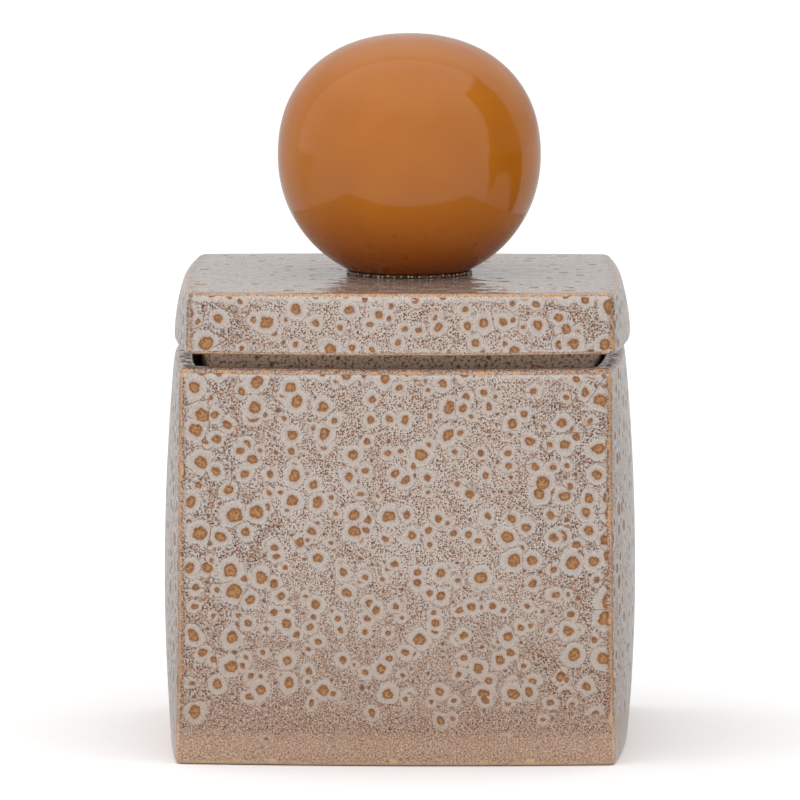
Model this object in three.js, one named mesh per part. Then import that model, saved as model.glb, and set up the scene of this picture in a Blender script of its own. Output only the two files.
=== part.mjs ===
import * as THREE from 'three';

// Square stoneware storage jar. The pot's four faces bulge like a cushion between crisp corner
// edges, a thick lid carries the same form on, and a hollow ball knob is bonded to the lid.
// Millimetres, +Z up, origin on the table under the middle of the pot, front at -Y.

// Pot, outside. A spread is how far a level's corner edges stand out past those of the mouth,
// and a bow is how far the middle of a side stands out past its own corners.
const mouthHalfWidth = 58.2;
const mouthBow = 3.7;
const potHeight = 108;
const bellyHeight = 45;
const bellySpread = 0.4;
const bellyBow = 6.4;
const footSpread = 1.5;
const footBow = 3.1;
const potCornerRound = 2.0;
const baseEdgeRound = 1.5;
const rimRound = 1.4;

// Pot, inside and underneath
const potWall = 5.3;
const floorThickness = 5.5;
const floorFillet = 7;
const innerCornerRound = 4;
const footBand = 8;
const footRecess = 1.1;

// Ledge inside the mouth that carries the lid
const ledgeDepth = 9;
const ledgeWidth = 4.6;
const ledgeLand = 1.6;
const corbelDrop = 6;

// Lid. Its outline follows the mouth, and its sides lean in towards the top.
const lidGap = 3.6;
const lidThickness = 16.7;
const lidCornerStep = 0.4;
const lidSwell = 1.3;
const lidTopDraw = 0.2;
const lidTopBow = 2.3;
const lidCornerRound = 3.0;
const lidBottomRound = 1.0;
const lidTopRound = 1.3;
const lidSkin = 5.2;
const lidRecessFillet = 4;

// Plug under the lid, flared where it leaves the lid
const plugClearance = 1.6;
const plugWall = 4.6;
const plugFlare = 1.6;
const plugEdgeRound = 1.0;

// The loose lid sits turned in the mouth by this many degrees, and this far to the right of its
// middle, within the plug's play
const lidTurn = 0.8;
const lidShift = 0.6;

// Knob: a slip-cast ball with a full crown, cut flat where it stands on the lid. The crown's
// height and the seat's depth are counted from the ball's widest level.
const knobRadius = 36.45;
const knobCrown = 33.4;
const knobSeatDepth = 31.9;
const knobSeatRadius = 16.7;
const crownFullness = 2.21;
const dropFullness = 2.06;
const knobWall = 3.6;
const castingHoleRadius = 4.5;
const knobShift = 1.85;

// Bond between knob and lid, pressed out a little past the seat
const bondThickness = 0.8;
const bondOverhang = 0.4;
const bondHoleMargin = 1.5;

// Steps of the curves
const sideSteps = 10;
const cornerSteps = 3;
const wallSteps = 11;
const lidSideSteps = 5;
const flareSteps = 2;
const roundSteps = 3;
const crownSteps = 10;
const dropSteps = 8;
const hollowSteps = 6;
const knobSegments = 48;

// A square plan with bowed sides: half width to a side's middle, radius of the side's arc, and
// radius of the round between two sides.
function squarePlan(halfWidth, bow, round) {
  return { face: halfWidth + bow, arc: (halfWidth ** 2 + bow ** 2) / (2 * bow), round };
}

function inset(plan, by, round = plan.round) {
  return { face: plan.face - by, arc: plan.arc - by, round };
}

const up = new THREE.Vector3(0, 0, 1);

// Points of a plan at one height, counter-clockwise from above. Each side's arc has its centre
// on the far side of the middle, and runs tangent into a corner round centred on the diagonal.
function ring(plan, z) {
  const reach = plan.arc - plan.face;
  const turn = plan.arc - plan.round;
  const diagonal = (Math.sqrt(2 * turn ** 2 - reach ** 2) - reach) / 2;
  const swing = Math.asin(diagonal / turn);
  const points = [];
  const add = (x, y, side) => {
    points.push(new THREE.Vector3(x, y, z).applyAxisAngle(up, side * Math.PI / 2));
  };
  for (let side = 0; side < 4; side++) {
    for (let i = 0; i < sideSteps; i++) {
      const a = swing * (2 * i / sideSteps - 1);
      add(plan.arc * Math.sin(a), reach - plan.arc * Math.cos(a), side);
    }
    for (let i = 0; i < cornerSteps; i++) {
      const a = swing + (Math.PI / 2 - 2 * swing) * i / cornerSteps;
      add(diagonal + plan.round * Math.sin(a), -diagonal - plan.round * Math.cos(a), side);
    }
  }
  return points;
}

// One closed body through a stack of rings, with a flat fan over the first and the last
function loft(rings) {
  const count = rings[0].length;
  const points = rings.flat();
  const faces = [];
  for (let level = 0; level < rings.length - 1; level++) {
    for (let i = 0; i < count; i++) {
      const a = level * count + i;
      const b = level * count + (i + 1) % count;
      faces.push(a, b, b + count, a, b + count, a + count);
    }
  }
  const first = points.length;
  const last = first + 1;
  points.push(new THREE.Vector3(0, 0, rings[0][0].z));
  points.push(new THREE.Vector3(0, 0, rings.at(-1)[0].z));
  for (let i = 0; i < count; i++) {
    const next = (i + 1) % count;
    const top = (rings.length - 1) * count;
    faces.push(first, next, i, last, top + i, top + next);
  }
  const geometry = new THREE.BufferGeometry().setFromPoints(points);
  geometry.setIndex(faces);
  geometry.computeVertexNormals();
  return geometry;
}

// Steps from 0 to 1 that include both ends, and the quarter turn made of them
function span(steps) {
  return Array.from({ length: steps + 1 }, (_, i) => i / steps);
}

function quarter(steps) {
  return span(steps).map((t) => t * Math.PI / 2);
}

// The pot's plan at any height: the corner edges and the bows run in two soft curves from the
// foot to the belly and from the belly to the mouth.
function potPlan(z) {
  const below = z < bellyHeight;
  const run = below ? bellyHeight : potHeight - bellyHeight;
  const away = ((z - bellyHeight) / run) ** 2;
  const spread = bellySpread + ((below ? footSpread : 0) - bellySpread) * away;
  const bow = bellyBow + ((below ? footBow : mouthBow) - bellyBow) * away;
  return squarePlan(mouthHalfWidth + spread, bow, potCornerRound);
}

// Inside of the pot: the mouth's bore is straight, and the rest follows the outside
function borePlan(by) {
  return inset(potPlan(potHeight), potWall + by, innerCornerRound);
}

function cavityPlan(z, by) {
  return inset(potPlan(z), potWall + by, innerCornerRound);
}

function makePot() {
  const ledgeTop = potHeight - ledgeDepth;
  const cavityTop = ledgeTop - ledgeLand - corbelDrop;
  const cavityFoot = floorThickness + floorFillet;
  const rings = [
    ring(inset(potPlan(0), footBand + footRecess), footRecess),
    ring(inset(potPlan(0), footBand), 0),
  ];
  for (const a of quarter(roundSteps)) {
    const z = baseEdgeRound * (1 - Math.cos(a));
    rings.push(ring(inset(potPlan(z), baseEdgeRound * (1 - Math.sin(a))), z));
  }
  const wallTop = potHeight - rimRound;
  for (const t of span(wallSteps).slice(1)) {
    const z = baseEdgeRound + (wallTop - baseEdgeRound) * t;
    rings.push(ring(potPlan(z), z));
  }
  for (const a of quarter(roundSteps).slice(1)) {
    const z = wallTop + rimRound * Math.sin(a);
    rings.push(ring(inset(potPlan(z), rimRound * (1 - Math.cos(a))), z));
  }
  for (const a of quarter(roundSteps)) {
    rings.push(ring(borePlan(-rimRound * (1 - Math.sin(a))), wallTop + rimRound * Math.cos(a)));
  }
  rings.push(ring(borePlan(0), ledgeTop));
  rings.push(ring(borePlan(ledgeWidth), ledgeTop));
  rings.push(ring(borePlan(ledgeWidth), ledgeTop - ledgeLand));
  for (const t of span(wallSteps - roundSteps)) {
    const z = cavityTop + (cavityFoot - cavityTop) * t;
    rings.push(ring(cavityPlan(z, 0), z));
  }
  for (const a of quarter(roundSteps).slice(1)) {
    const z = cavityFoot - floorFillet * Math.sin(a);
    rings.push(ring(cavityPlan(z, floorFillet * (1 - Math.cos(a))), z));
  }
  return loft(rings);
}

// The lid's own frame stands on the ledge, where the plug's lower edge rests
const lidUnderside = ledgeDepth + lidGap;
const lidTop = lidUnderside + lidThickness;

function lidPlan(height) {
  const t = height / lidThickness;
  const bow = mouthBow + lidSwell;
  const halfWidth = mouthHalfWidth - lidCornerStep - lidTopDraw * t;
  return squarePlan(halfWidth, bow + (lidTopBow - bow) * t ** 2, lidCornerRound);
}

function makeLid() {
  const ceiling = lidTop - lidSkin;
  const rings = [];
  for (const a of quarter(roundSteps)) {
    const by = plugClearance + plugWall + lidRecessFillet * (1 - Math.sin(a));
    rings.push(ring(borePlan(by), ceiling - lidRecessFillet * (1 - Math.cos(a))));
  }
  for (const a of quarter(roundSteps)) {
    const by = plugClearance + plugWall - plugEdgeRound * (1 - Math.cos(a));
    rings.push(ring(borePlan(by), plugEdgeRound * (1 - Math.sin(a))));
  }
  for (const a of quarter(roundSteps)) {
    const by = plugClearance + plugEdgeRound * (1 - Math.sin(a));
    rings.push(ring(borePlan(by), plugEdgeRound * (1 - Math.cos(a))));
  }
  for (const t of span(flareSteps)) {
    rings.push(ring(borePlan(plugClearance - plugFlare * t), ledgeDepth + lidGap * t));
  }
  for (const a of quarter(roundSteps)) {
    const height = lidBottomRound * (1 - Math.cos(a));
    const by = lidBottomRound * (1 - Math.sin(a));
    rings.push(ring(inset(lidPlan(height), by), lidUnderside + height));
  }
  const sideTop = lidThickness - lidTopRound;
  for (const t of span(lidSideSteps).slice(1)) {
    const height = lidBottomRound + (sideTop - lidBottomRound) * t;
    rings.push(ring(lidPlan(height), lidUnderside + height));
  }
  for (const a of quarter(roundSteps).slice(1)) {
    const height = sideTop + lidTopRound * Math.sin(a);
    rings.push(ring(inset(lidPlan(height), lidTopRound * (1 - Math.cos(a))), lidUnderside + height));
  }
  return loft(rings);
}

// Depth of the whole lower oval, of which the seat cuts off the tip
const knobDrop = knobSeatDepth
  / (1 - (knobSeatRadius / knobRadius) ** dropFullness) ** (1 / dropFullness);

// Half outline of a ball, from its crown down to a flat cut: two ovals that meet where it is widest
function ballOutline(radius, crown, drop, cut, steps) {
  const oval = (height, fullness, a) => new THREE.Vector2(
    radius * Math.cos(a) ** (2 / fullness),
    height * Math.sin(a) ** (2 / fullness),
  );
  const upper = quarter(steps.crown).reverse().slice(1).map((a) => oval(crown, crownFullness, a));
  const end = Math.asin((cut / drop) ** (dropFullness / 2));
  const lower = span(steps.drop).slice(1).map((t) => {
    const point = oval(drop, dropFullness, t * end);
    return point.set(point.x, -point.y);
  });
  return [new THREE.Vector2(0, crown), ...upper, ...lower];
}

// A profile of radius and height, turned about the upright axis
function revolve(profile) {
  const geometry = new THREE.LatheGeometry(profile, knobSegments);
  geometry.rotateX(Math.PI / 2);
  return geometry;
}

function makeKnob() {
  const skin = ballOutline(
    knobRadius, knobCrown, knobDrop, knobSeatDepth, { crown: crownSteps, drop: dropSteps },
  );
  const hollow = ballOutline(
    knobRadius - knobWall, knobCrown - knobWall, knobDrop - knobWall, knobSeatDepth - knobWall,
    { crown: hollowSteps, drop: hollowSteps },
  );
  const hole = [
    new THREE.Vector2(castingHoleRadius, -knobSeatDepth),
    new THREE.Vector2(castingHoleRadius, knobWall - knobSeatDepth),
  ];
  const profile = [...skin, ...hole, ...hollow.reverse()].reverse();
  return revolve(profile).translate(0, 0, knobSeatDepth);
}

function makeBond() {
  const outer = knobSeatRadius + bondOverhang;
  const inner = castingHoleRadius + bondHoleMargin;
  return revolve([
    new THREE.Vector2(inner, 0),
    new THREE.Vector2(outer, 0),
    new THREE.Vector2(outer, bondThickness),
    new THREE.Vector2(inner, bondThickness),
    new THREE.Vector2(inner, 0),
  ]);
}

const craterGlaze = new THREE.MeshStandardMaterial({ color: 0xa8968b, roughness: 0.18, metalness: 0 });
const amberGlaze = new THREE.MeshStandardMaterial({ color: 0xb4671f, roughness: 0.08, metalness: 0 });
const clearBond = new THREE.MeshStandardMaterial({ color: 0x8d8378, roughness: 0.3, metalness: 0 });

function piece(name, geometry, material) {
  const mesh = new THREE.Mesh(geometry, material);
  mesh.name = name;
  return mesh;
}

const jar = new THREE.Group();
jar.add(piece('jar_body', makePot(), craterGlaze));

const lidGroup = new THREE.Group();
lidGroup.position.set(lidShift, 0, potHeight - ledgeDepth);
lidGroup.rotation.z = THREE.MathUtils.degToRad(lidTurn);
lidGroup.add(piece('lid', makeLid(), craterGlaze));

const bond = piece('knob_bond', makeBond(), clearBond);
bond.position.set(knobShift, 0, lidTop);
const knob = piece('knob', makeKnob(), amberGlaze);
knob.position.set(knobShift, 0, lidTop + bondThickness);
lidGroup.add(bond, knob);
jar.add(lidGroup);

export default jar;
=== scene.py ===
import math

import bpy
import numpy as np
from mathutils import Matrix


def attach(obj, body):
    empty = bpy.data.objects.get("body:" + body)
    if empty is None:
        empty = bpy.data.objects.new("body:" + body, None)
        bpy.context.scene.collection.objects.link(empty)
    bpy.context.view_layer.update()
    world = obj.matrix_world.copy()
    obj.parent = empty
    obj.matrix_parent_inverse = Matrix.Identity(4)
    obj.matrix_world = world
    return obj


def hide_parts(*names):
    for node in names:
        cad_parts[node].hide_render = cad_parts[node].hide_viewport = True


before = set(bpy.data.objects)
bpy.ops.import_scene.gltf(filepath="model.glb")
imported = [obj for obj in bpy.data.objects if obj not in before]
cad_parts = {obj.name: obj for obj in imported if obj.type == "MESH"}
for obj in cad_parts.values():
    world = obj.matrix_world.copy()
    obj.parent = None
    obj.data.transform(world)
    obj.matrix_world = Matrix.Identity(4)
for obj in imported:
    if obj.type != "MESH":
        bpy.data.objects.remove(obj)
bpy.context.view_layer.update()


# Pot. Cast stoneware in one firing, its four sides bulging like a cushion between corner edges,
# with a ledge inside the mouth. It was dipped in a reactive glaze that boiled in the kiln and
# left caramel craters, and wiped bare on the band that it stands on.
POT_TOP = 108.0
MOUTH_HALF = 58.2
BELLY_HEIGHT = 45.0
BELLY_SPREAD = 0.4
BELLY_BOW = 6.4
FOOT_SPREAD = 1.5
FOOT_BOW = 3.1
MOUTH_BOW = 3.7
FOOT_BAND = 8.0
OUTER_SKIN = 2.6
CAVITY_FROM = 4.0

# The glaze map, in mm: the four sides follow each other in one strip, and the flat faces and the
# inside lie well away from it
SIDE_PITCH = 131.0
FLAT_AT = (700, 90)
INSIDE_AT = 300
LEVEL_ENOUGH = 0.72

# In metres: how close the CAD's loose corners are to be one, and how far an edge is softened
MERGE_WITHIN = 0.00002
SOFT_EDGE = 0.0005


def carry(node, name, soft_edge, sharp_from=38):
    """A copy of a CAD node as one merged, rounded and fine surface."""
    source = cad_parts[node]
    piece = bpy.data.objects.new(name, source.data.copy())
    bpy.context.scene.collection.objects.link(piece)
    bpy.ops.object.select_all(action="DESELECT")
    piece.select_set(True)
    bpy.context.view_layer.objects.active = piece
    piece.data.materials.clear()
    bpy.ops.object.mode_set(mode="EDIT")
    bpy.ops.mesh.customdata_custom_splitnormals_clear()
    bpy.ops.mesh.select_all(action="SELECT")
    bpy.ops.mesh.remove_doubles(threshold=MERGE_WITHIN)
    bpy.ops.mesh.tris_convert_to_quads(face_threshold=0.9, shape_threshold=1.6)
    bpy.ops.mesh.select_all(action="DESELECT")
    bpy.ops.mesh.select_mode(type="EDGE")
    bpy.ops.mesh.edges_select_sharp(sharpness=math.radians(sharp_from))
    bpy.ops.mesh.bevel(offset=soft_edge, segments=2, profile=0.5)
    bpy.ops.object.mode_set(mode="OBJECT")
    fine = piece.modifiers.new("fine", "SUBSURF")
    fine.levels = fine.render_levels = 2
    bpy.ops.object.modifier_apply(modifier=fine.name)
    bpy.ops.object.shade_smooth()
    return piece


def corner_spread(z):
    """How far out the pot's corner edges stand at height z, and how far its sides bow, in mm."""
    low = z < BELLY_HEIGHT
    away = ((z - BELLY_HEIGHT) / np.where(low, BELLY_HEIGHT, POT_TOP - BELLY_HEIGHT)) ** 2
    spread = BELLY_SPREAD + (np.where(low, FOOT_SPREAD, 0) - BELLY_SPREAD) * away
    bow = BELLY_BOW + (np.where(low, FOOT_BOW, MOUTH_BOW) - BELLY_BOW) * away
    return MOUTH_HALF + spread, bow


def by_side(x, y):
    """Which of the four sides a place belongs to, and how far along and out it is there."""
    side = np.round(np.arctan2(x, -y) / (math.pi / 2)).astype(int) % 4
    turn = side * math.pi / 2
    return side, x * np.cos(turn) + y * np.sin(turn), x * np.sin(turn) - y * np.cos(turn)


def mesh_places(mesh, turned=0.0, shifted=0.0):
    """Corners of a mesh and middles and normals of its faces, in mm, before it was set down."""
    at = np.empty(len(mesh.vertices) * 3)
    mesh.vertices.foreach_get("co", at)
    middle = np.empty(len(mesh.polygons) * 3)
    mesh.polygons.foreach_get("center", middle)
    normal = np.empty(len(mesh.polygons) * 3)
    mesh.polygons.foreach_get("normal", normal)
    cos, sin = math.cos(turned), math.sin(turned)
    straight = np.array([[cos, -sin, 0], [sin, cos, 0], [0, 0, 1]])
    at, middle = (v.reshape(-1, 3) * 1000 - (shifted, 0, 0) for v in (at, middle))
    return at @ straight, middle @ straight, normal.reshape(-1, 3) @ straight


def lay_glaze_map(mesh, inside, turned=0.0, shifted=0.0):
    """A map in mm: the four sides in one strip, and flat faces from above. Inside has its own."""
    at, middle, normal = mesh_places(mesh, turned, shifted)
    loops = np.empty(len(mesh.loops), int)
    mesh.loops.foreach_get("vertex_index", loops)
    face_of = np.repeat(
        np.arange(len(mesh.polygons)), [p.loop_total for p in mesh.polygons]
    )
    side = by_side(middle[:, 0], middle[:, 1])[0][face_of]
    turn = side * math.pi / 2
    place = at[loops]
    along = place[:, 0] * np.cos(turn) + place[:, 1] * np.sin(turn)
    flat = np.abs(normal[face_of, 2]) > LEVEL_ENOUGH
    facing = np.sign(normal[face_of, 2])
    u = np.where(flat, place[:, 0] + FLAT_AT[0], along + side * SIDE_PITCH)
    v = np.where(flat, (place[:, 1] + FLAT_AT[1]) * facing, place[:, 2])
    v = v + INSIDE_AT * inside(middle)[face_of]
    layer = mesh.uv_layers.new(name="glaze")
    layer.uv.foreach_set("vector", np.stack([u, v], 1).astype(np.float32).ravel())


def note(mesh, name, values):
    """One number for each corner of a mesh, for its material."""
    layer = mesh.attributes.new(name, "FLOAT", "POINT")
    layer.data.foreach_set("value", np.broadcast_to(values, len(mesh.vertices)).astype(np.float32))


def fade(value, start, end):
    """0 at start, 1 at end, softly in between."""
    t = np.clip((value - start) / (end - start), 0, 1)
    return t * t * (3 - 2 * t)


pot = carry("jar_body", "pot", SOFT_EDGE)


def inside_pot(at):
    half, bow = corner_spread(at[:, 2])
    _, along, out = by_side(at[:, 0], at[:, 1])
    skin = half + bow * (1 - (along / half) ** 2)
    return ((skin - out > OUTER_SKIN) & (at[:, 2] > CAVITY_FROM)).astype(float)


lay_glaze_map(pot.data, inside_pot)
spots = mesh_places(pot.data)[0]
height = spots[:, 2]
below_rim = POT_TOP - height
half, bow = corner_spread(height)
_, along, out = by_side(spots[:, 0], spots[:, 1])
skin_depth = np.maximum(half + bow * (1 - (along / half) ** 2) - out, 0)
within = inside_pot(spots)
outside = 1 - within

# How near the edges are on which the glaze broke to a tan line. The numbers that divide are the
# lines' widths in mm, and FAR is further than any line reaches.
FAR = 40
CORNER_LINE = 0.75
FOOT_LINE = 1.3
RIM_LINE = 0.35
RIM_LINE_AT = 1.0
RIM_TOP_IN_SHADE = 0.45
to_corner = np.where((within > 0) | (skin_depth > 1.5), FAR, half - np.abs(along))
note(pot.data, "corner", to_corner)
to_corner = np.maximum(to_corner, 0.5) / CORNER_LINE
to_foot = np.where(within, FAR, height + skin_depth * 0.7) / FOOT_LINE
# On the rim's top face the tan line and brown crust stand partly for real glaze break and partly
# for painted shade under the lid
to_rim = np.maximum(np.abs(below_rim - RIM_LINE_AT), 0.3) + skin_depth * 0.12
to_rim = np.where(below_rim < RIM_TOP_IN_SHADE, 0.48, to_rim) / RIM_LINE
note(pot.data, "edge", np.minimum(np.minimum(to_corner, to_foot), to_rim))

# Where the glaze is thin and calm inside, tan or short of craters near the foot, and pale under
# the rim with a painted highlight. The pairs are the heights in mm at which each begins and is
# full.
TAN_FOOT_BAND = (22, 3)
FEW_CRATERS = (27, 4)
LOW_PART = (62, 14)
calm = fade(skin_depth, 0.9, 1.8)
note(pot.data, "calm", calm)
note(pot.data, "tan", fade(height, *TAN_FOOT_BAND) * outside)
note(pot.data, "quiet", np.maximum(calm, fade(height, *FEW_CRATERS) * 0.92 * outside))
note(pot.data, "low", fade(height, *LOW_PART) * outside)
# Pale glaze below the rim, with a painted highlight just under the edge
brow_highlight = fade(below_rim, 1.3, 1.8) * fade(below_rim, 3.2, 1.8)
note(pot.data, "brow_highlight", brow_highlight * (skin_depth < 0.7))
note(pot.data, "bare", (height < 0.35) & (skin_depth < FOOT_BAND + 0.9))


class Wire:
    """A socket of a node tree that can be written with in sums."""

    def __init__(self, tree, socket=None):
        self.tree = tree
        self.socket = socket

    def node(self, kind, settings, inputs, output=0):
        """A node of a kind with its settings, its sockets' values or wires, and one output."""
        made = self.tree.nodes.new(kind)
        for name, value in settings.items():
            setattr(made, name, value)
        for name, value in inputs.items():
            if isinstance(value, Wire):
                self.tree.links.new(value.socket, made.inputs[name])
            else:
                made.inputs[name].default_value = value
        return Wire(self.tree, made.outputs[output] if made.outputs else None)

    def join(self, operation, first, second):
        """One sum. A Math node turns colours grey, so colours and places go by Vector Math."""
        sockets = [w.socket.type for w in (first, second) if isinstance(w, Wire)]
        flat = not {"VECTOR", "RGBA"} & set(sockets)
        kind = "ShaderNodeMath" if flat else "ShaderNodeVectorMath"
        pair = [w if isinstance(w, Wire) or flat else (w, w, w) for w in (first, second)]
        return self.node(kind, {"operation": operation}, dict(enumerate(pair)))

    def __add__(self, other):
        return self.join("ADD", self, other)

    def __sub__(self, other):
        return self.join("SUBTRACT", self, other)

    def __rsub__(self, other):
        return self.join("SUBTRACT", other, self)

    def __mul__(self, other):
        return self.join("MULTIPLY", self, other)

    def __truediv__(self, other):
        return self.join("DIVIDE", self, other)

    def __pow__(self, other):
        return self.join("POWER", self, other)

    __radd__ = __add__
    __rmul__ = __mul__

    def least(self, other):
        return self.join("MINIMUM", self, other)

    def most(self, other):
        return self.join("MAXIMUM", self, other)

    def fade(self, start, end):
        """0 at start, 1 at end, softly in between."""
        inputs = {"Value": self, "From Min": start, "From Max": end}
        return self.node("ShaderNodeMapRange", {"interpolation_type": "SMOOTHSTEP"}, inputs)

    def mix(self, first, second):
        """First colour where this is 0 and second where it is 1."""
        inputs = {0: self, 6: first, 7: second}
        return self.node("ShaderNodeMix", {"data_type": "RGBA"}, inputs, 2)

    def also(self, output):
        """Another output of the node that this socket is on."""
        return Wire(self.tree, self.socket.node.outputs[output])

    def part(self, channel):
        """One of the three numbers of a place or colour."""
        return self.node("ShaderNodeSeparateXYZ", {}, {0: self}, channel)

    def noise(self, size, detail=2.0, roughness=0.5, output=0):
        """Noise over the map with features about size mm across."""
        inputs = {"Vector": self, "Scale": 1 / size, "Detail": detail, "Roughness": roughness}
        return self.node("ShaderNodeTexNoise", {"noise_dimensions": "2D"}, inputs, output)

    def solid_noise(self, size, detail=2.0, roughness=0.5):
        """Noise through space, or over directions."""
        inputs = {"Vector": self, "Scale": 1 / size, "Detail": detail, "Roughness": roughness}
        return self.node("ShaderNodeTexNoise", {}, inputs)

    def cells(self, size, output, feature="F1", randomness=0.9):
        """Cells over the map about size mm across."""
        settings = {"voronoi_dimensions": "2D", "feature": feature}
        inputs = {"Vector": self, "Scale": 1 / size, "Randomness": randomness}
        return self.node("ShaderNodeTexVoronoi", settings, inputs, output)

    def fact(self, name):
        """One of the numbers noted on the mesh."""
        return self.node("ShaderNodeAttribute", {"attribute_name": name}, {}, "Fac")


def srgb(red, green, blue):
    """A colour as a paint chart gives it, for a shader."""
    parts = [c / 255 for c in (red, green, blue)]
    return (*[c / 12.92 if c <= 0.04045 else ((c + 0.055) / 1.055) ** 2.4 for c in parts], 1.0)


def new_material(name):
    material = bpy.data.materials.new(name)
    material.use_nodes = True
    material.node_tree.nodes.clear()
    return material, Wire(material.node_tree)


def set_surface(wire, shader_kind, inputs):
    shader = wire.node(shader_kind, {}, inputs)
    wire.node("ShaderNodeOutputMaterial", {}, {"Surface": shader})


# Spacing of the boil marks and of the brown dots, the least and most radius of the marks' pools,
# and how far from a corner edge its own pattern starts and is full, in mm
LARGE_CRATERS = 8.4
LARGE_POOLS = (0.9, 1.8)
SMALL_CRATERS = 6.4
SMALL_POOLS = (0.6, 1.2)
FLECKS = 3.7
FLECK_POOLS = (0.2, 0.62)
NEAR_CORNER = (30, 6)
FINE_DOTS = 0.60
COARSE_DOTS = 0.72
GRIT = 0.48
SCATTER = 0.86
RING_TO_POOL = 1.65
MILLIMETRE = 0.001

# Colours of the glaze. Where there are two, it is mottled from one to the other.
GROUND = srgb(197, 184, 174), srgb(192, 177, 165)
GROUND_BY_CORNERS = srgb(195, 184, 176)
GROUND_LOW = srgb(193, 173, 158)
TAN_FOOT = srgb(214, 184, 161), srgb(147, 107, 80)
DOTS = srgb(82, 45, 24)
DOTS_BY_CORNERS = srgb(68, 36, 18)
RUSTY_DOTS = srgb(126, 77, 46)
RING = srgb(200, 192, 186), srgb(176, 163, 153)
RING_MARGIN = srgb(207, 200, 195)
RING_LOW = srgb(184, 168, 156)
RING_BY_POOL = srgb(188, 164, 147)
MEETING = srgb(176, 122, 78)
CRACK = srgb(128, 86, 58)
CARAMEL = srgb(124, 76, 38), srgb(154, 100, 50)
CARAMEL_MIDDLE_AND_GLINT = srgb(180, 130, 76)
CARAMEL_RIM = srgb(108, 62, 32)
FLECK = srgb(112, 62, 32)
THIN_GLAZE = srgb(194, 170, 152), srgb(116, 88, 68)
PALE_BAND_AND_HIGHLIGHT = srgb(214, 204, 197)
CRUST = srgb(118, 74, 46)
TAN_LINE = srgb(212, 162, 114), srgb(128, 78, 42)
TAN_LINE_INSIDE = srgb(176, 124, 80), srgb(92, 56, 32)
# The foot's tan line is painted lighter, as light from the floor below
LIT_TAN_LINE_AT_FOOT = srgb(212, 176, 142)
BARE_CLAY = srgb(196, 172, 146), srgb(170, 142, 114)


def boil(place, spacing, radii, large, quiet, fuzz, margin=0.6):
    """Boil marks, one to a cell: the pool, its ring, how far out of each a place is, the seams."""
    least, most = radii
    cell = place.cells(spacing, "Distance", "F1", SCATTER)
    luck = cell.also("Color")
    direction = place - cell.also("Position")
    direction = direction.node("ShaderNodeVectorMath", {"operation": "NORMALIZE"}, {0: direction})
    lobes = (direction * 1.3 + luck * 40).solid_noise(1.0, 2.0) - 0.5
    rays = (direction * 7 + luck * 40).solid_noise(1.0, 3.0, 0.8) - 0.5
    present = (luck.part(1) - quiet).fade(0.11, 0.13)
    radius = (luck.part(0) ** 1.3 * (most - least) + least) * large
    away = cell * spacing - radius * lobes * 0.6
    ring = radius * RING_TO_POOL + margin + rays * margin * 2.2
    pool = (radius + fuzz * 0.6 + rays - away).fade(-0.17, 0.17) * present
    halo = (ring + fuzz * 1.7 - away).fade(-0.5, 0.4) * present
    seam = place.cells(spacing, "Distance", "DISTANCE_TO_EDGE", SCATTER) * spacing
    return pool, halo, away - radius * present, away - ring * present, seam


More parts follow.
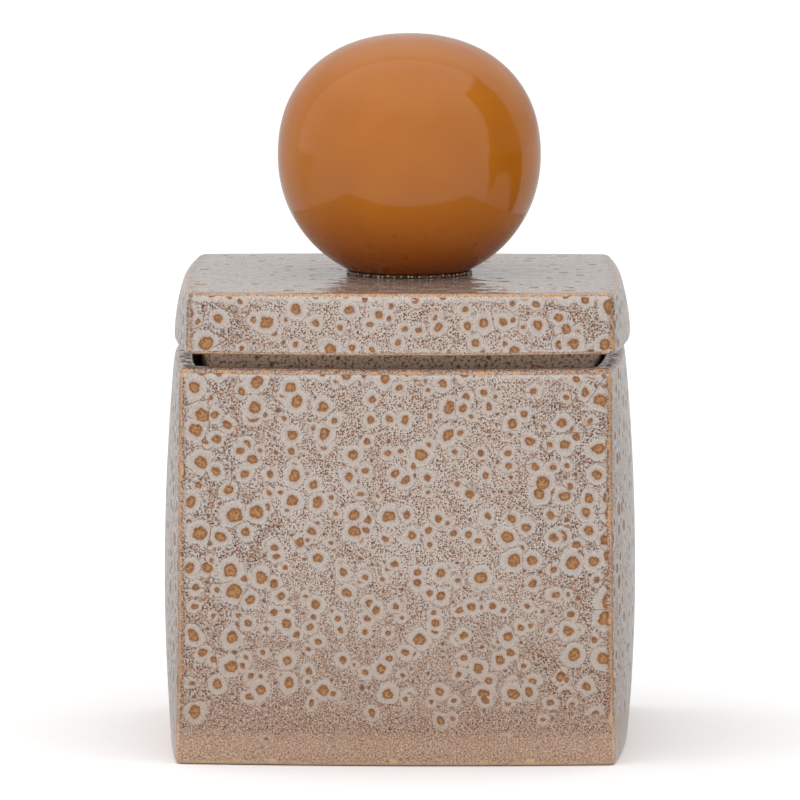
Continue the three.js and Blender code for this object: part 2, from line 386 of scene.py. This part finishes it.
def make_crater_glaze():
    material, wire = new_material("crater_glaze")
    flat = wire.node("ShaderNodeUVMap", {"uv_map": "glaze"}, {})
    sway = flat.noise(5.0, 1.0, 0.5, "Color") - 0.5
    ripple = flat.noise(1.2, 1.0, 0.5, "Color") - 0.5
    place = flat + sway * 1.6 + ripple * 0.4
    crumb = flat + (flat.noise(0.5, 1.0, 0.5, "Color") - 0.5) * 0.55
    grain = crumb.noise(0.5, 3.0, 0.7).fade(0.40, 0.62)
    fine_cloud = flat.noise(0.5, 3.0, 0.7)
    drift = flat.noise(17, 2.0)
    edge = wire.fact("edge")
    calm = wire.fact("calm")
    tan = wire.fact("tan")
    low = wire.fact("low")
    bare = wire.fact("bare")
    near_corner = (wire.fact("corner") + (flat.noise(24, 1.0) - 0.5) * 44).fade(*NEAR_CORNER)

    # Craters, each a caramel pool in a smooth pale ring, in two sizes, and small amber flecks
    # that never grew into craters
    quiet = wire.fact("quiet").most(edge.fade(2.4, 0.8))
    fuzz = (flat.noise(0.4, 2.0, 0.7) - 0.5) * 1.2
    large = near_corner * 0.25 + 0.9
    pool, halo, inner, outer, seam = boil(place, LARGE_CRATERS, LARGE_POOLS, large, quiet, fuzz)
    small_pool, small_halo, small_inner, small_outer, _ = boil(
        place + 50, SMALL_CRATERS, SMALL_POOLS, large, quiet + halo, fuzz
    )
    rings = halo.most(small_halo)
    still = rings + tan * 0.4 + 0.1
    fleck, fleck_halo, *_ = boil(place + 90, FLECKS, FLECK_POOLS, large, still, fuzz, 0.35)
    within = inner.least(small_inner)
    beyond = outer.least(small_outer)

    # Pale ground, tan at the foot where the glaze ran thin
    ground = near_corner.mix(drift.fade(0.3, 0.7).mix(*GROUND), GROUND_BY_CORNERS)
    ground = low.mix(ground, GROUND_LOW)
    ground = tan.mix(ground, grain.mix(*TAN_FOOT))

    # Brown dots on it, sparse and large near the corners, fine and dense elsewhere, finest low
    # down, and all of them smaller close to a crater
    fine = crumb.cells(FINE_DOTS, "Distance")
    fine_luck = fine.also("Color")
    crowding = beyond.fade(-0.5, 1.2) * 0.07 + 0.095
    fine_size = fine_luck.part(0) * 0.25 + drift * 0.07 + low * 0.04 + crowding
    fine = (fine_size - fine).fade(-0.09, 0.09)
    grit = crumb.cells(GRIT, "Distance")
    grit = (grit.also("Color").part(0) * 0.22 + crowding + 0.06 - grit).fade(-0.1, 0.1)
    fine = fine * (1 - low * 0.6) + grit * low * 0.8
    coarse = crumb.cells(COARSE_DOTS, "Distance")
    coarse_size = coarse.also("Color").part(0) * 0.24 + crowding + 0.03
    coarse = (coarse_size - coarse).fade(-0.07, 0.07)
    sparse = near_corner.fade(0.3, 0.7) * (1 - tan.fade(0.0, 0.5))
    dots = (fine * (1 - sparse * 0.45) + coarse * sparse) * (1 - tan.fade(0.6, 1.0) * 0.75)
    dot_colour = near_corner.mix(DOTS, DOTS_BY_CORNERS)
    dot_colour = fine_luck.part(1).fade(0.5, 0.9).mix(dot_colour, RUSTY_DOTS)
    skin = dots.mix(ground, dot_colour)

    # The rings of the craters are smooth and pale
    pale = fine_cloud.fade(0.36, 0.62).mix(*RING)
    pale = (beyond.fade(-0.9, -0.3) * 0.35).mix(pale, RING_MARGIN)
    pale = (low * 0.6).mix(pale, RING_LOW)
    pale = within.fade(0.0, 1.0).mix(RING_BY_POOL, pale)
    skin = (rings.most(fleck_halo * 0.4) * (0.84 - tan * 0.4)).mix(skin, pale)

    # Hair cracks between the rings and along their hems, and tan where craters meet
    hair = seam.fade(0.20, 0.05) * flat.noise(6, 1.0).fade(0.36, 0.50)
    hem = beyond.fade(0.05, 0.17) * beyond.fade(0.44, 0.27) * (1 - tan)
    hem = hem * (flat.noise(1.9, 1.0).fade(0.46, 0.60) * 0.8 + 0.1)
    cracks = hair.most(hem) * (1 - quiet) * (near_corner * 0.35 + 0.5)
    meeting = outer.fade(0.8, 2.4) * flat.noise(1.4, 2.0).fade(0.50, 0.66)
    meeting = meeting * (near_corner * 0.4 + 0.4) * (1 - quiet) * (1 - small_halo)
    skin = (meeting * 0.75).mix(skin, MEETING)
    skin = cracks.mix(skin, CRACK)

    # Mottled caramel pools, darker round their rims, lighter in their middles partly as a painted
    # reflection, and the darker flecks
    amber = fleck * (1 - rings) * (1 - tan * 0.5)
    mottle = flat.noise(0.85, 2.0, 0.65)
    caramel = mottle.fade(0.36, 0.52).mix(*CARAMEL)
    # The lighter middle is partly the pool's own mottle and partly a painted reflection
    middle = within.fade(-0.25, -0.9) * (mottle.fade(0.40, 0.56) * 0.8 + 0.15)
    caramel = middle.mix(caramel, CARAMEL_MIDDLE_AND_GLINT)
    rim = within.fade(-0.5, 0.1) * (flat.noise(1.3, 1.0).fade(0.3, 0.6) * 0.6 + 0.35)
    caramel = rim.mix(caramel, CARAMEL_RIM)
    caramel = (amber * 0.6).mix(caramel, FLECK)
    pool = pool.most(small_pool)
    skin = pool.most(amber * 0.9).mix(skin, caramel)

    # Inside and under the lid the glaze is thin and brown with fine dots
    thin = crumb.noise(0.9, 2.0, 0.6).fade(0.48, 0.66).mix(*THIN_GLAZE)
    skin = (calm * (1 - amber) * 0.94).mix(skin, thin)

    # On every edge the glaze broke to a tan line in a brown crust, with a pale band beside it that
    # carries a painted highlight
    drips = flat.noise(7, 1.0).fade(0.6, 0.8) * (edge * 3).fade(9, 0) * 2.4
    frayed = edge + (flat.noise(1.1, 2.0, 0.6) - 0.5) * 1.3 - drips
    # The pale band and its painted highlight, kept off the pools
    pale_and_highlight = wire.fact("brow_highlight") * (1 - pool)
    skin = (pale_and_highlight * 0.5).mix(skin, PALE_BAND_AND_HIGHLIGHT)
    crust = frayed.fade(3.0, 1.4) * grain.most(calm * 0.6) * (1 - tan) * (1 - pale_and_highlight)
    skin = (crust * 0.85).mix(skin, CRUST)
    line = frayed.fade(1.25, 0.6) * (flat.noise(2.6, 1.0).fade(0.3, 0.55) * 0.4 + 0.55)
    broken = calm.mix((fine * 0.5).mix(*TAN_LINE), grain.mix(*TAN_LINE_INSIDE))
    # At the foot the tan line is painted lighter, as painted light from the floor below
    skin = line.mix(skin, tan.mix(broken, LIT_TAN_LINE_AT_FOOT))

    # The band that it stands on is bare clay. Pools are sunk a little and less glossy.
    skin = bare.mix(skin, fine_cloud.fade(0.3, 0.7).mix(*BARE_CLAY))
    rough = 0.05 + rings * 0.03 + pool * 0.2 + dots * 0.05 + cracks * 0.2 + bare * 0.5
    bowl = within.fade(0.4, -1.4) * rings
    relief = rings * 0.03 - bowl * 0.5 - cracks * 0.02 + flat.noise(7, 1.0) * 0.3
    relief = relief + flat.noise(2.4, 1.0) * 0.06
    inputs = {"Height": relief, "Strength": 1.0, "Distance": MILLIMETRE}
    normal = wire.node("ShaderNodeBump", {}, inputs)
    inputs = {"Base Color": skin, "Roughness": rough, "Normal": normal, "IOR": 1.5}
    set_surface(wire, "ShaderNodeBsdfPrincipled", inputs)
    return material


crater_glaze = make_crater_glaze()
pot.data.materials.append(crater_glaze)
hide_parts("jar_body")
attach(pot, "jar")


# Lid. A thick stoneware slab with the pot's outline and leaning sides, cast with a square plug
# under it that drops into the mouth. Same glaze and firing as the pot, the plug's glaze thin.
LID_UNDERSIDE = 111.6
LID_TOP = 128.3
LID_HALF = 57.8
LID_LOW_BOW = 5.0
LID_HIGH_BOW = 2.3
LID_TURN = math.radians(0.8)
LID_SHIFT = 0.6
LID_CORNER_LINE = 0.8
LID_TOP_LINE = 0.65
LID_LOW_LINE = 0.3

lid = carry("lid", "lid_slab", SOFT_EDGE)


def inside_lid(at):
    return (at[:, 2] < LID_UNDERSIDE - 0.3).astype(float)


lay_glaze_map(lid.data, inside_lid, LID_TURN, LID_SHIFT)
spots = mesh_places(lid.data, LID_TURN, LID_SHIFT)[0]
height = spots[:, 2]
below_top = LID_TOP - height
above_underside = height - LID_UNDERSIDE
_, along, out = by_side(spots[:, 0], spots[:, 1])
rise = np.clip(above_underside / (LID_TOP - LID_UNDERSIDE), 0, 1)
bow = LID_LOW_BOW + (LID_HIGH_BOW - LID_LOW_BOW) * rise**2
skin_depth = np.maximum(LID_HALF + bow * (1 - (along / LID_HALF) ** 2) - out, 0)
under = fade(above_underside, 0.4, -0.4)
under = np.maximum(under, (below_top > 3) * fade(skin_depth, 1, 3))

# The same notes as on the pot. The numbers that divide are the lines' widths in mm.
to_corner = LID_HALF - np.abs(along)
note(lid.data, "corner", np.where(skin_depth > 3, FAR, to_corner))
to_corner = np.maximum(np.where(skin_depth > 1.5, FAR, to_corner), 0.45) / LID_CORNER_LINE
to_top = (np.abs(below_top - 0.25) + skin_depth * 0.4) / LID_TOP_LINE
to_underside = (np.abs(above_underside - 0.5) + skin_depth * 0.5) / LID_LOW_LINE
edges = np.minimum(np.minimum(to_corner, to_top), to_underside)
note(lid.data, "edge", np.where(under > 0.5, FAR, edges))
note(lid.data, "calm", under)
note(lid.data, "quiet", np.maximum(under, fade(skin_depth, 1, 2) * 0.6))
# Painted highlight just below the top edge, and painted light from below just above the underside
brow_highlight = fade(below_top, 0.6, 0.9) * fade(below_top, 3.0, 1.2)
brow_highlight = brow_highlight + fade(above_underside, 0.6, 1.0) * fade(above_underside, 2.2, 1.4) * 0.4
note(lid.data, "brow_highlight", brow_highlight * (skin_depth < 0.7))
for absent in ("tan", "low", "bare"):
    note(lid.data, absent, 0.0)
lid.data.materials.append(crater_glaze)
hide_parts("lid")
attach(lid, "lid")


# Knob. A slip-cast hollow stoneware ball, dipped in plain amber glaze and fired to a deep gloss,
# its flat foot with the casting hole bonded to the lid. Lower down it is painted darker, as
# painted shade from the lid under it.
KNOB_SOFT_EDGE = 0.0004
KNOB_SHARP_FROM = 20
AMBER = srgb(183, 106, 12), srgb(176, 99, 10)
SHADED_LOW_AMBER = srgb(160, 82, 6)
AMBER_SPECKS = srgb(96, 44, 8)
LOW_SHADE_FROM = 150
LOW_SHADE_FULL = 131

knob = carry("knob", "ball_knob", KNOB_SOFT_EDGE, KNOB_SHARP_FROM)
amber_glaze, wire = new_material("amber_glaze")
space = wire.node("ShaderNodeTexCoord", {}, {}, "Object") * 1000
cloud = space.solid_noise(22)
amber = cloud.fade(0.3, 0.7).mix(*AMBER)
# Painted shade: the ball grows darker towards the lid below it
low = space.part(2) + (space.solid_noise(8) - 0.5) * 4
low = low.fade(LOW_SHADE_FROM, LOW_SHADE_FULL)
amber = low.mix(amber, SHADED_LOW_AMBER)
specks = space.solid_noise(0.7, 1.0).fade(0.66, 0.72) * (low * 0.5 + 0.08)
amber = specks.mix(amber, AMBER_SPECKS)
orange_peel = space.solid_noise(9, 1.0) + space.solid_noise(1.6, 1.0) * 0.03
peel = wire.node(
    "ShaderNodeBump", {}, {"Height": orange_peel, "Strength": 0.25, "Distance": 0.0002}
)
inputs = {"Base Color": amber, "Roughness": cloud * 0.04 + 0.08, "Normal": peel, "IOR": 1.5}
set_surface(wire, "ShaderNodeBsdfPrincipled", inputs)
knob.data.materials.append(amber_glaze)
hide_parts("knob")
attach(knob, "lid")


# Bond. Clear hard adhesive pressed out between the knob's foot and the lid in a thin line, which
# set in small beads round the seat. The line is painted dark as shade under the knob's foot.
SEAT_MIDDLE = (2.45, 0.03)
SEAT_RADIUS = 17.1
BOND_FOOT = 128.3
BOND_SOFT_EDGE = 0.00012
BEADS = 62
BEAD = 0.34
BOND_IN_SHADE = srgb(112, 88, 68), srgb(56, 38, 26)
MILKY_BOND = srgb(226, 214, 200), srgb(160, 138, 118)

bond = carry("knob_bond", "bond_line", BOND_SOFT_EDGE)
shaded_bond, wire = new_material("shaded_bond")
space = wire.node("ShaderNodeTexCoord", {}, {}, "Object") * 1000
# The bond's colour is darkened as painted shade under the knob's foot
shaded_murk = space.solid_noise(1.2).fade(0.35, 0.65).mix(*BOND_IN_SHADE)
inputs = {"Base Color": shaded_murk, "Roughness": 0.15, "IOR": 1.5, "Specular IOR Level": 0.25}
set_surface(wire, "ShaderNodeBsdfPrincipled", inputs)
bond.data.materials.append(shaded_bond)

milky_bond, wire = new_material("milky_bond")
space = wire.node("ShaderNodeTexCoord", {}, {}, "Object") * 1000
milk = space.solid_noise(0.8).fade(0.35, 0.65).mix(*MILKY_BOND)
inputs = {"Base Color": milk, "Roughness": 0.12, "IOR": 1.5}
set_surface(wire, "ShaderNodeBsdfPrincipled", inputs)

bpy.ops.object.select_all(action="DESELECT")
bpy.ops.mesh.primitive_ico_sphere_add(subdivisions=2, radius=BEAD / 1000)
bead = bpy.context.object
bpy.ops.object.mode_set(mode="EDIT")
bpy.ops.mesh.select_all(action="SELECT")
bpy.ops.mesh.bisect(
    plane_co=(0, 0, -BEAD / 2000), plane_no=(0, 0, 1), use_fill=True, clear_inner=True
)
bpy.ops.object.mode_set(mode="OBJECT")
bpy.ops.object.shade_smooth()
luck = np.random.default_rng(7)
copies = []
for i in range(BEADS):
    drop = bead.copy()
    drop.data = bead.data.copy()
    bpy.context.scene.collection.objects.link(drop)
    turn = (i + luck.uniform(-0.35, 0.35)) / BEADS * math.tau
    out = SEAT_RADIUS + luck.uniform(-0.15, 0.1)
    place = Matrix.Translation((
        (SEAT_MIDDLE[0] + out * math.sin(turn)) / 1000,
        (SEAT_MIDDLE[1] - out * math.cos(turn)) / 1000,
        (BOND_FOOT + luck.uniform(0.2, 0.5)) / 1000,
    ))
    size = Matrix.Diagonal((*luck.uniform(0.7, 1.25, 3), 1))
    drop.data.transform(place @ size)
    copies.append(drop)
bpy.ops.object.select_all(action="DESELECT")
for drop in copies:
    drop.select_set(True)
bpy.context.view_layer.objects.active = copies[0]
bpy.ops.object.join()
beads = bpy.context.object
beads.name = "bond_beads"
bpy.data.objects.remove(bead)
beads.data.materials.append(milky_bond)
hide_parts("knob_bond")
for piece in (bond, beads):
    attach(piece, "lid")


# Studio. A pale floor, a white tent all round with a gap on the right, and a long lens. Floor and
# tent are plain white to the camera itself, and what the glaze mirrors and is lit by differs.
CAMERA_AWAY = 2.7
CAMERA_HEIGHT = 0.386
CAMERA_TURN = math.radians(1.35)
CAMERA_LENS = 443
CAMERA_SENSOR = 36
CAMERA_AIM = (-0.00011, 0, 0.093)
KNOB_MIDDLE = 0.161
FLOOR_RADIUS = 14
FLOOR_TO_CAMERA = (1.1, 1.1, 1.1, 1)
WHITE = (1, 1, 1, 1)

bpy.ops.object.select_all(action="DESELECT")
bpy.ops.mesh.primitive_circle_add(vertices=96, radius=FLOOR_RADIUS, fill_type="NGON")
floor = bpy.context.object
floor.name = "floor"
pale, wire = new_material("pale_floor")
spot = wire.node("ShaderNodeTexCoord", {}, {}, "Object")
rightward, deeper = spot.part(0), spot.part(1)

# What the glaze mirrors of the floor: it ends at a horizon behind the jar, darkens towards the
# back, and has a dark strip on the right with a pale card on it
reach = (rightward**2 + deeper**2 + KNOB_MIDDLE**2) ** 0.5
behind = ((deeper - rightward * 0.03) / reach).fade(0.42, 0.45)
shade = 0.95 - deeper.fade(-0.25, 0.25) * 0.47
aside = rightward.fade(0.12, 0.2) * (rightward * 0.305 + deeper).fade(0.02, 0.04)
card = rightward.fade(0.25, 0.26) * rightward.fade(0.90, 0.82)
card = card * deeper.fade(-0.08, -0.07) * deeper.fade(0.12, 0.115)
shade = behind.mix(shade * (1 - aside * 0.85 * (1 - card * 0.7)), shade.most(0.57))
seen = wire.node("ShaderNodeLightPath", {}, {}, "Is Camera Ray")
tone = seen.mix(shade, FLOOR_TO_CAMERA)
set_surface(wire, "ShaderNodeBsdfDiffuse", {"Color": tone})
floor.data.materials.append(pale)

world = bpy.data.worlds.new("tent")
world.use_nodes = True
world.node_tree.nodes.clear()
bpy.context.scene.world = world
wire = Wire(world.node_tree)
heading = wire.node("ShaderNodeTexCoord", {}, {}, "Generated")
sideways, depth, upward = heading.part(0), heading.part(1), heading.part(2)

# What it mirrors of the tent: a darker back with a soft horizon, more light from above, and an
# opening on the right through which the dark room shows
slant = depth - sideways * 0.03 + upward * ((sideways + 0.25) ** 2 * 0.15 + 0.04)
back = slant.fade(0.43, 0.45)
horizon = back * upward.fade(0.4, 0.15) * (sideways.fade(-0.1, 0.35) * 0.12 + 0.08)
glow = 1.0 - back * 0.3 - horizon + upward.fade(0.45, 0.9) * 0.36
glow = glow * (1 - slant.fade(0.39, 0.42) * slant.fade(0.46, 0.445) * 0.3)
inner = (depth - upward * 0.157).fade(-0.26, -0.23)
gap = inner * slant.fade(0.44, 0.41) * sideways.fade(0.3, 0.5) * upward.fade(0.79, 0.75)
glow = glow * (1 - gap * 0.8)
tent = wire.node("ShaderNodeBackground", {}, {"Color": WHITE, "Strength": glow})
plain = wire.node("ShaderNodeBackground", {}, {"Color": WHITE, "Strength": 1.0})
seen = wire.node("ShaderNodeLightPath", {}, {}, "Is Camera Ray")
shown = wire.node("ShaderNodeMixShader", {}, {0: seen, 1: tent, 2: plain})
wire.node("ShaderNodeOutputWorld", {}, {"Surface": shown})

# The camera stands in front, a little to the right, and looks slightly down
camera = bpy.data.objects.new("camera", bpy.data.cameras.new("camera"))
bpy.context.scene.collection.objects.link(camera)
camera.data.sensor_width = CAMERA_SENSOR
camera.data.lens = CAMERA_LENS
camera.location = (
    CAMERA_AWAY * math.sin(CAMERA_TURN), -CAMERA_AWAY * math.cos(CAMERA_TURN), CAMERA_HEIGHT
)
bpy.ops.object.empty_add(location=CAMERA_AIM)
aim = bpy.context.object
toward = aim.location - camera.location
camera.rotation_euler = toward.to_track_quat("-Z", "Y").to_euler()
bpy.data.objects.remove(aim)
bpy.context.scene.camera = camera
bpy.context.scene.view_settings.view_transform = "Standard"
